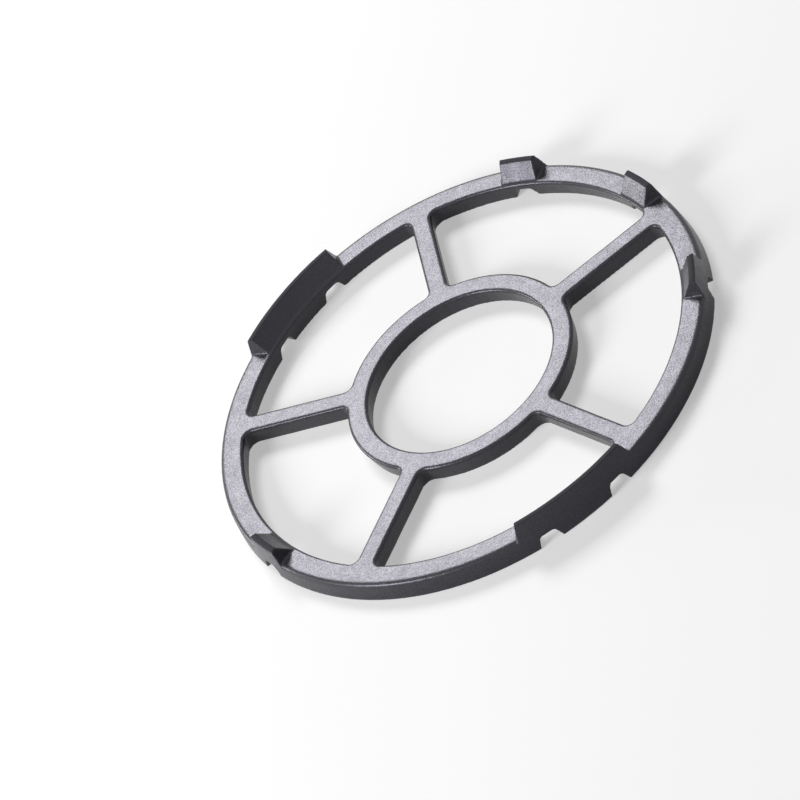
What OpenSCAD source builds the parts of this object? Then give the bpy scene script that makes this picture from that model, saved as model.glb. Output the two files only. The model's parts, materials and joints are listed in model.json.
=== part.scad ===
// Wok ring: one cast iron piece that sits on the claws of a pan support and holds a round wok.
// All sizes in millimetres. Origin: centre of the ring, in the plane of the flat underside.
// +X points along the axis of symmetry, to the claw notch that only the four-claw support uses.
// +Z points up, towards the wok.

/* [Rim] */
// Outer diameter at the top edge of the rim
rim_top_d = 208; // [190:1:240]
// How much the outer wall flares out from top to bottom, on the radius
rim_flare = 1.0; // [0.4:0.1:1.6]
// Width of the rim at the top
rim_w = 10.1; // [8.5:0.1:12.5]
// Height of rim, spokes and inner ring
bar_h = 8.4; // [7:0.1:11]
// Draft of every inner wall: the bars grow this much narrower per side towards the bottom
draft = 1.7; // [0.8:0.1:2.0]
// Radius of the rounded edge between the outer wall and the top
edge_r = 1.6; // [0.8:0.1:1.8]
// Bevel along the top edges of the inner walls
top_bevel = 0.9; // [0.4:0.1:1.2]
// Small bevel along the pad lands and the foot of the outer wall
bevel = 0.4; // [0.2:0.1:0.6]

/* [Inner ring and spokes] */
// Diameter of the centre hole at the top
hole_d = 78.8; // [66:0.2:92]
// Width of the inner ring at the top
hub_w = 9.4; // [7.5:0.1:12]
// Number of spokes
spoke_n = 5; // [3:1:6]
// Width of a spoke at the top
spoke_w = 9.0; // [7.5:0.1:11]
// Direction of the first spoke, counted from +X
spoke_first = 63; // [58:1:68]
// Radius in the corners where a spoke meets inner ring and rim
corner_r = 3.0; // [2:0.25:5]

/* [Pads] */
// Height of the pads above the underside
pad_top = 15.0; // [12.5:0.25:18]
// Width of the narrow land on top of a pad
land_w = 2.4; // [1.5:0.1:4]
// Half of the arc that the land of a short pad covers
short_half = 4.4; // [3.5:0.1:6]
// Arc that the land of a long pad runs on past its outer notches
long_past = 5.0; // [4:0.1:6]
// Steepness of the pad ends
end_slope = 75; // [66:1:80]
// Angle by which the pad ends open outwards
end_yaw = 10; // [2:1:16]

/* [Claw notches] */
// Width of a notch at the bottom
notch_w = 10.0; // [8:0.25:12]
// Width of a notch at its roof
notch_roof_w = 6.4; // [5:0.2:8]
// Height of a notch
notch_h = 4.8; // [3.5:0.1:5.5]
// Radius of the roof corners of a notch
notch_r = 1.6; // [0.8:0.2:2.4]

/* [Hidden] */
$fn = 180;
rim_out = rim_top_d / 2;
rim_in = rim_out - rim_w;
hub_in = hole_d / 2;
hub_out = hub_in + hub_w;
rim_mid = rim_out - rim_w / 2;
hub_mid = hub_in + hub_w / 2;
spoke_half = spoke_w / 2;
// Claw supports this ring fits: four claws and five claws, with one claw direction shared
four_claws = [0, 90, 180, 270];
five_claws = [36, 108, 180, 252, 324];
// The two claw directions under a long pad lie this far apart
claw_gap = 18;
long_half = claw_gap / 2 + long_past;
// Pads as [direction, half of the arc that its land covers]
pads_list = [
    [0, short_half],
    [36, short_half],
    [99, long_half],
    [180, short_half],
    [261, long_half],
    [324, short_half]
];
// How far the fillet cutters bite into the walls they touch, so that no thin seam is left
bite = 0.05;
// How deep the pads reach down into the rim
root = 2;
edge_steps = 3;
notch_steps = 4;
corner_fn = 48;
// Larger than any height or width of the part
reach = 60;

// Draft of an inner wall at height z
function lean(z) = draft * (1 - z / bar_h);

// Radius of the outer wall at height z
function outer(z) = rim_out + rim_flare * (1 - z / bar_h);

// An inner wall from bottom to top as [inset, height]: drafted wall, then the bevel
function wall() = [[draft, 0], [lean(bar_h - top_bevel), bar_h - top_bevel], [top_bevel, bar_h]];

function back(list) = [for (i = [len(list) - 1:-1:0]) list[i]];

// Closed ring with drafted inner wall and flared outer wall
module rim() {
    outer_side = concat(
        [[outer(0) - bevel, 0], [outer(bevel), bevel]],
        [for (i = [0:edge_steps])
            let (a = 90 * i / edge_steps, z = bar_h - edge_r + edge_r * sin(a))
            [outer(z) - edge_r * (1 - cos(a)), z]]
    );
    rotate_extrude()
        polygon(concat(outer_side, [for (p = back(wall())) [rim_in + p[0], p[1]]]));
}

// Inner ring, narrower at the bottom on both sides
module hub() {
    rotate_extrude()
        polygon(concat(
            [for (p = wall()) [hub_out - p[0], p[1]]],
            [for (p = back(wall())) [hub_in + p[0], p[1]]]
        ));
}

// One spoke along +X, with the same section as the inner ring
module spoke() {
    translate([hub_mid, 0, 0])
        rotate([90, 0, 90])
            linear_extrude(height = rim_mid - hub_mid)
                polygon(concat(
                    [for (p = wall()) [spoke_half - p[0], p[1]]],
                    [for (p = back(wall())) [p[0] - spoke_half, p[1]]]
                ));
}

// Cone that hollows a corner: it widens downwards as the walls beside it draw back
module corner_cutter() {
    low = -1;
    high = bar_h + 1;
    translate([0, 0, low])
        cylinder(
            h = high - low,
            r1 = corner_r + lean(low) + bite,
            r2 = corner_r + lean(high) + bite,
            $fn = corner_fn
        );
}

// Rounded corner beside a spoke; "centre" is the distance of the rounding's axis from the ring's
// axis, "base" a radius inside the ring that the corner grows from
module corner(centre, base) {
    y = spoke_half + corner_r;
    x = sqrt(centre * centre - y * y);
    difference() {
        linear_extrude(height = bar_h)
            polygon([[base, 0], [x, 0], [x, y], [x * base / centre, y * base / centre]]);
        translate([x, y, 0])
            corner_cutter();
    }
}

module spoke_with_corners() {
    spoke();
    for (side = [0, 1]) {
        mirror([0, side, 0]) {
            corner(hub_out + corner_r, hub_mid);
            corner(rim_in - corner_r, rim_mid);
        }
    }
}

// Endless pad: slope up from the rim's inner edge, narrow land, outer wall in line with the rim
module pad_ring() {
    low = bar_h - edge_r;
    land_out = outer(pad_top);
    rotate_extrude()
        polygon([
            [rim_in + lean(low) + root, bar_h - root],
            [outer(low) - root, bar_h - root],
            [outer(low), low],
            [outer(pad_top - bevel), pad_top - bevel],
            [land_out - bevel, pad_top],
            [land_out - land_w, pad_top],
            [rim_in + lean(low), low],
            [rim_in + lean(low) + root / 2, low - root / 2]
        ]);
}

// Block with its lower face on the end of a pad that ends at +X
module end_cutter() {
    translate([outer(pad_top), 0, pad_top])
        rotate([-end_slope, 0, end_yaw])
            translate([-reach, -reach, 0])
                cube([2 * reach, 2 * reach, reach]);
}

// Space that one pad may fill
module pad_window(half) {
    width = rim_out * sin(half + claw_gap);
    difference() {
        translate([rim_in * cos(half + claw_gap), -width, bar_h - 2 * root])
            cube([reach, 2 * width, pad_top]);
        for (side = [0, 1]) {
            mirror([0, side, 0])
                rotate([0, 0, half])
                    end_cutter();
        }
    }
}

module pads() {
    intersection() {
        pad_ring();
        union() {
            for (pad = pads_list) {
                rotate([0, 0, pad[0]])
                    pad_window(pad[1]);
            }
        }
    }
}

// Section of a notch: open at the bottom, sides drawn in towards the roof, rounded roof corners
module notch_section() {
    lean_in = atan2((notch_w - notch_roof_w) / 2, notch_h);
    turn = 90 - lean_in;
    x = notch_roof_w / 2 - notch_r * tan(turn / 2);
    right_side = [for (i = [0:notch_steps])
        let (a = lean_in + turn * i / notch_steps)
        [x + notch_r * cos(a), notch_h - notch_r + notch_r * sin(a)]];
    left_side = [for (p = back(right_side)) [-p[0], p[1]]];
    below = notch_w / 2 + tan(lean_in);
    polygon(concat([[-below, -1], [below, -1]], right_side, left_side));
}

module notches() {
    for (a = concat(four_claws, [for (b = five_claws) if (b != 180) b])) {
        rotate([0, 0, a])
            translate([rim_in - rim_w / 2, 0, 0])
                rotate([90, 0, 90])
                    linear_extrude(height = 2 * rim_w)
                        notch_section();
    }
}

module wok_ring() {
    color([0.2, 0.2, 0.21])
        difference() {
            union() {
                rim();
                hub();
                for (i = [0:spoke_n - 1]) {
                    rotate([0, 0, spoke_first + i * 360 / spoke_n])
                        spoke_with_corners();
                }
                pads();
            }
            notches();
        }
}

wok_ring();
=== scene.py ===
import json
import math

import bmesh
import bpy
import numpy as np
from mathutils import Euler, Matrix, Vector, noise
from mathutils.bvhtree import BVHTree


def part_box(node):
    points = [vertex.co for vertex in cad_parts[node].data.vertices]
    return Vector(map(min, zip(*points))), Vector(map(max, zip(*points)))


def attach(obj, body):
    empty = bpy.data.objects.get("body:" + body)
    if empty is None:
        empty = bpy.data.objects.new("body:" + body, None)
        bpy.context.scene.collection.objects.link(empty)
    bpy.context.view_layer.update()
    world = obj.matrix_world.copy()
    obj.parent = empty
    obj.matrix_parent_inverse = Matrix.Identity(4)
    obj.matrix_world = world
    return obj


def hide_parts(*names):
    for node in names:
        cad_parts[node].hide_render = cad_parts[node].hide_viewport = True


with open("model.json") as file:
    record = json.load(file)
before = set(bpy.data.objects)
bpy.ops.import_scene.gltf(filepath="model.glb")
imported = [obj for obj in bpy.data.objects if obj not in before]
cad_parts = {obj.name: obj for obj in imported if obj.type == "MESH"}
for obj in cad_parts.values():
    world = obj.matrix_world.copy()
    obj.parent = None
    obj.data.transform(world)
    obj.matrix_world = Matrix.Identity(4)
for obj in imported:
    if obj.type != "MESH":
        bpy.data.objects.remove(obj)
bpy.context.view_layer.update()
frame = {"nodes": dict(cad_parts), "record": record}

MM = 0.001


def linear(hex_colour):
    """An sRGB hex colour as linear red, green, blue and alpha."""
    parts = [int(hex_colour[i:i + 2], 16) / 255 for i in (1, 3, 5)]
    return [c / 12.92 if c <= 0.04045 else ((c + 0.055) / 1.055) ** 2.4 for c in parts] + [1.0]


def add(tree, kind, inputs=None, **settings):
    """A new node. Each input is given a value, or a socket that is linked to it."""
    node = tree.nodes.new(kind)
    for name, value in settings.items():
        setattr(node, name, value)
    for name, value in (inputs or {}).items():
        if isinstance(value, bpy.types.NodeSocket):
            tree.links.new(value, node.inputs[name])
        else:
            node.inputs[name].default_value = value
    return node


# The casting

# Corners of the CAD mesh that lie closer together than this are one corner
SAME_CORNER = 0.002 * MM
# Size of the even faces that the casting is drawn with before it is thinned out
VOXEL = 0.36 * MM
# Radius of the rounded top edges of rim, spokes and inner ring
EDGE_R = 1.3 * MM
EDGE_PASSES = 3
MOST_TRIANGLES = 190000
# A face is steep if the upward part of its normal is smaller than this
STEEP = 0.3
# The rim's outer wall lies no further in than this
OUTER_WALL = 3 * MM
# Unevenness left by the mould: how far apart its bumps are, and how deep
MOULD_WAVES = ((9 * MM, 0.07 * MM), (2.6 * MM, 0.035 * MM))
bar_top = next(m["pos_m"][2] for m in frame["record"]["mounts"] if m["name"] == "top_rest")
pad_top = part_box("wok_ring")[1][2]
rim_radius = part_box("wok_ring")[1][0]


def baked(obj):
    """Replaces the object's mesh by what its modifiers make of it."""
    shaped = bpy.data.meshes.new_from_object(obj.evaluated_get(bpy.context.evaluated_depsgraph_get()))
    obj.modifiers.clear()
    obj.data = shaped


def closed_copy(node, name):
    """A copy of a CAD node's mesh with its split corners joined, so that it encloses a volume."""
    joined = bmesh.new()
    joined.from_mesh(node.data)
    bmesh.ops.remove_doubles(joined, verts=joined.verts, dist=SAME_CORNER)
    mesh = bpy.data.meshes.new(name)
    joined.to_mesh(mesh)
    joined.free()
    obj = bpy.data.objects.new(name, mesh)
    bpy.context.scene.collection.objects.link(obj)
    return obj


def vertex_array(vertices, name):
    """One vector per vertex, as rows of an array."""
    values = np.empty(len(vertices) * 3, np.float32)
    vertices.foreach_get(name, values)
    return values.reshape(-1, 3)


def side_walls(mesh):
    """The steep walls of the openings, below their rounded edges. The rim's outer edge is round already."""
    places = [v.co for v in mesh.vertices]
    steep = [
        tuple(face.vertices) for face in mesh.polygons
        if abs(face.normal.z) < STEEP
        and face.center.xy.length < rim_radius - OUTER_WALL
        and min(places[v].z for v in face.vertices) < bar_top - EDGE_R
    ]
    return BVHTree.FromPolygons(places, steep)


def round_top_edges(mesh, walls):
    """Draws the corner between a wall and the flat top onto a quarter circle of radius EDGE_R."""
    foot = bar_top - EDGE_R
    just_above_top = bar_top + VOXEL / 10
    for vertex in mesh.vertices:
        if not foot < vertex.co.z < just_above_top:
            continue
        beside = Vector((*vertex.co.xy, foot))
        nearest, facing, _, _ = walls.find_nearest(beside)
        inside = (nearest - beside).dot(facing)
        if inside > EDGE_R:
            continue
        outwards = Vector((*facing.xy, 0)).normalized()
        arm = outwards * (EDGE_R - inside) + Vector((0, 0, vertex.co.z - foot))
        if arm.length > EDGE_R:
            vertex.co += arm * (EDGE_R / arm.length - 1)


def even_out(obj):
    """Draws the object anew with even faces, fine enough to round and roughen."""
    even = obj.modifiers.new("even_faces", "REMESH")
    even.mode = "VOXEL"
    even.voxel_size = VOXEL
    baked(obj)


def roughen(mesh, box):
    """Sinks the surface a little, in waves, and keeps it inside the box."""
    place = vertex_array(mesh.vertices, "co")
    facing = vertex_array(mesh.vertex_normals, "vector")
    depth = np.zeros(len(place))
    for apart, deep in MOULD_WAVES:
        wave = [noise.noise(Vector(p) / apart) for p in place.tolist()]
        # Noise runs from -1 to 1, so this only ever sinks the surface
        depth += deep * (np.array(wave) - 1) / 2
    place = np.clip(place + facing * depth[:, None], np.array(box[0]), np.array(box[1]))
    mesh.vertices.foreach_set("co", place.astype(np.float32).ravel())
    mesh.update()


def soften_and_roughen(obj, box):
    """Rounds every edge as a mould does, and leaves the slight unevenness of a sand-cast surface."""
    walls = side_walls(obj.data)
    even_out(obj)
    round_top_edges(obj.data, walls)
    soft = obj.modifiers.new("soft_edges", "SMOOTH")
    soft.factor = 0.5
    soft.iterations = EDGE_PASSES
    baked(obj)
    roughen(obj.data, box)
    thin = obj.modifiers.new("thin_out", "DECIMATE")
    thin.ratio = min(1.0, MOST_TRIANGLES / (2 * len(obj.data.polygons)))
    baked(obj)
    for polygon in obj.data.polygons:
        polygon.use_smooth = True


casting = closed_copy(frame["nodes"]["wok_ring"], "wok_ring_casting")
soften_and_roughen(casting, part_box("wok_ring"))


# Finish

# How far below their top the pads' lands change to the finish of the rest
LAND_DEPTH = 0.5 * MM
# Sand grains are 0.2 to 0.4 mm. They are drawn coarser, because finer ones don't show in the render
GRAIN = 0.8 * MM
GRAIN_RELIEF = 0.09 * MM
# Where the enamel ran thicker or thinner
POOL = 6 * MM


def enamelled_cast_iron():
    """Matt black enamel fired onto sand-cast iron. The firing leaves a satin sheen, and the sand's grain
    shows through the thin glaze and breaks that sheen up."""
    material = bpy.data.materials.new("matt_black_enamel_on_sand_cast_iron")
    material.use_nodes = True
    tree = material.node_tree
    tree.nodes.clear()
    place = add(tree, "ShaderNodeTexCoord").outputs["Object"]
    grain = add(tree, "ShaderNodeTexNoise", {
        "Vector": place, "Scale": 1 / GRAIN, "Detail": 2.0, "Roughness": 0.6,
    }).outputs["Fac"]
    pools = add(tree, "ShaderNodeTexNoise", {
        "Vector": place, "Scale": 1 / POOL, "Detail": 4.0, "Roughness": 0.55,
    }).outputs["Fac"]
    # The narrow lands on top of the pads, where the wok rests, are rubbed dull
    height = add(tree, "ShaderNodeSeparateXYZ", {"Vector": place}).outputs["Z"]
    land = add(tree, "ShaderNodeMapRange", {
        "Value": height, "From Min": pad_top - LAND_DEPTH, "From Max": pad_top - LAND_DEPTH / 2,
    }).outputs["Result"]
    tone = add(tree, "ShaderNodeMapRange", {
        "Value": grain, "From Min": 0.3, "From Max": 0.7,
    }).outputs["Result"]
    colour = add(tree, "ShaderNodeMix", {"Factor": tone}, data_type="RGBA")
    colour.inputs[6].default_value = linear("#212023")
    colour.inputs[7].default_value = linear("#3A393D")
    colour = add(tree, "ShaderNodeMix", {"Factor": land, 6: colour.outputs[2]}, data_type="RGBA")
    colour.inputs[7].default_value = linear("#222124")
    # Thick enamel flows out smoother, and the hollows between the grains stay duller
    gloss = add(tree, "ShaderNodeMix", {"Factor": 0.65, 2: pools, 3: grain}).outputs[0]
    gloss = add(tree, "ShaderNodeMapRange", {
        "Value": gloss, "From Min": 0.35, "From Max": 0.65, "To Min": 0.36, "To Max": 0.25,
    }).outputs["Result"]
    dull = add(tree, "ShaderNodeMix", {"Factor": land, 2: gloss, 3: 0.85})
    relief = add(tree, "ShaderNodeBump", {
        "Height": grain, "Strength": 1.0, "Distance": GRAIN_RELIEF,
    }).outputs["Normal"]
    # Enamel is a glass, so it is no metal, and its IOR lies near 1.5
    shader = add(tree, "ShaderNodeBsdfPrincipled", {
        "Base Color": colour.outputs[2], "Roughness": dull.outputs[0], "IOR": 1.46, "Normal": relief,
    })
    # Painted tint of the light: the sheen is tinted faintly lilac
    shader.inputs["Specular Tint"].default_value = linear("#F1EEFF")
    add(tree, "ShaderNodeOutputMaterial", {"Surface": shader.outputs["BSDF"]})
    return material


casting.data.materials.clear()
casting.data.materials.append(enamelled_cast_iron())
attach(casting, "root")
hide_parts("wok_ring")


# Floor, light and camera

FLOOR_HALF = 4.0
# The floor lies this much below the underside, so that the two don't share a plane
FLOOR_DROP = 0.02 * MM
# What lifts the grey paper to white where it is seen
PAPER_LIFT = 0.42
# How much of the floor's light comes from the room
ROOM_LIGHT = 0.06
# Fitted to the rim, the inner ring and the spokes as the picture shows them.
# Place in metres, turn in degrees, lens in millimetres
CAMERA_PLACE = (-0.44546, -1.89938, 1.60861)
CAMERA_TURN = (44.6146, 27.2227, -37.3408)
CAMERA_LENS = 295.83


def seen(tree):
    """1 for rays that show the background: from the camera, mirrored or let through. Otherwise 0."""
    path = add(tree, "ShaderNodeLightPath").outputs
    either = add(tree, "ShaderNodeMath", {
        0: path["Is Camera Ray"], 1: path["Is Glossy Ray"],
    }, operation="MAXIMUM")
    return add(tree, "ShaderNodeMath", {
        0: either.outputs[0], 1: path["Is Transmission Ray"],
    }, operation="MAXIMUM").outputs[0]


def pale_floor():
    """Pale grey paper whose colour is lifted to white where it is seen. It keeps the ring's shadow."""
    mesh = bpy.data.meshes.new("floor")
    ends = [(x * FLOOR_HALF, y * FLOOR_HALF, 0) for x, y in ((-1, -1), (1, -1), (1, 1), (-1, 1))]
    mesh.from_pydata(ends, [], [(0, 1, 2, 3)])
    floor = bpy.data.objects.new("floor", mesh)
    floor.location.z = -FLOOR_DROP
    bpy.context.scene.collection.objects.link(floor)
    material = bpy.data.materials.new("matt_pale_paper")
    material.use_nodes = True
    tree = material.node_tree
    paper = tree.nodes["Principled BSDF"]
    paper.inputs["Base Color"].default_value = linear("#C4C4C4")
    paper.inputs["Roughness"].default_value = 0.9
    paper.inputs["Specular IOR Level"].default_value = 0.1
    paper.inputs["Emission Color"].default_value = linear("#FFFFFF")
    lift = add(tree, "ShaderNodeMapRange", {"Value": seen(tree), "To Min": 0.0, "To Max": PAPER_LIFT})
    tree.links.new(lift.outputs["Result"], paper.inputs["Emission Strength"])
    mesh.materials.append(material)


def surroundings():
    """A dim room that shows as white where it is seen."""
    world = bpy.data.worlds.new("studio")
    bpy.context.scene.world = world
    world.use_nodes = True
    tree = world.node_tree
    tree.nodes.clear()
    level = add(tree, "ShaderNodeMapRange", {"Value": seen(tree), "To Min": ROOM_LIGHT, "To Max": 1.0})
    light = add(tree, "ShaderNodeBackground", {
        "Color": linear("#FFFFFF"), "Strength": level.outputs["Result"],
    })
    add(tree, "ShaderNodeOutputWorld", {"Surface": light.outputs["Background"]})


def softbox(name, turn, height, away, size, level):
    """A rectangular lamp that faces the ring. Turn and height are its direction in degrees, and level is
    how much light it alone gives the floor. The lamps and the room together give about 1."""
    lamp = bpy.data.lights.new(name, "AREA")
    lamp.shape = "RECTANGLE"
    lamp.size, lamp.size_y = size
    obj = bpy.data.objects.new(name, lamp)
    turn, height = math.radians(turn), math.radians(height)
    lamp.energy = level * (math.pi * away) ** 2 / math.sin(height)
    flat = math.cos(height)
    direction = Vector((flat * math.cos(turn), flat * math.sin(turn), math.sin(height)))
    obj.location = direction * away
    obj.rotation_euler = direction.to_track_quat("Z", "Y").to_euler()
    bpy.context.scene.collection.objects.link(obj)


def camera():
    """Looks at the ring from where the picture was taken."""
    eye = bpy.data.cameras.new("camera")
    eye.sensor_width = 36
    eye.lens = CAMERA_LENS
    eye.clip_end = 20
    obj = bpy.data.objects.new("camera", eye)
    obj.location = CAMERA_PLACE
    obj.rotation_euler = Euler([math.radians(a) for a in CAMERA_TURN])
    bpy.context.scene.collection.objects.link(obj)
    bpy.context.scene.camera = obj


pale_floor()
surroundings()
# Each lamp stands where the camera sees it mirrored: the first in the flat tops, the second in the slope
# of the pad at 36 degrees, and the low one, as near as the floor allows, in that of the pad at 0 degrees
softbox("back_softbox", 79, 41, 2.0, (0.8, 0.68), 0.49)
softbox("left_softbox", 182, 26, 1.6, (0.6, 0.6), 0.4)
softbox("low_softbox", 131, 8, 1.3, (0.5, 0.35), 0.05)
camera()
bpy.context.scene.view_settings.view_transform = "Standard"
